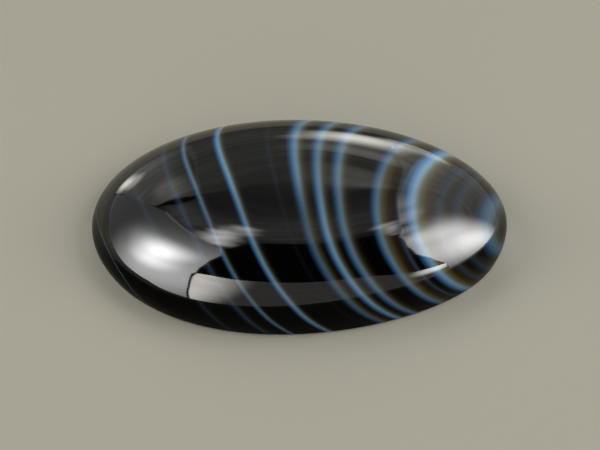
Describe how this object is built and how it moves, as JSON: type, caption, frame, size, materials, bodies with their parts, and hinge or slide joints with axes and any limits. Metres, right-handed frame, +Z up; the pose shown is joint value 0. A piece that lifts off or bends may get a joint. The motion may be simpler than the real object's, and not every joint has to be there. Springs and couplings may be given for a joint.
{
  "type": "sulemani agate cabochon",
  "caption": "Oval cabochon of black agate with blue-white bands, a polished dome over a flat ground base that it rests on.",
  "frame": {"origin": "on the resting plane, under the middle of the stone's bounding box", "axes": "+X along the stone towards its pointed end, +Y across it towards its back, +Z up through the dome"},
  "size_m": [0.038, 0.024, 0.0073],
  "materials": {
    "polished_agate": "polished"
  },
  "bodies": {
    "root": {"agate_cabochon": "polished_agate"}
  },
  "joints": []
}
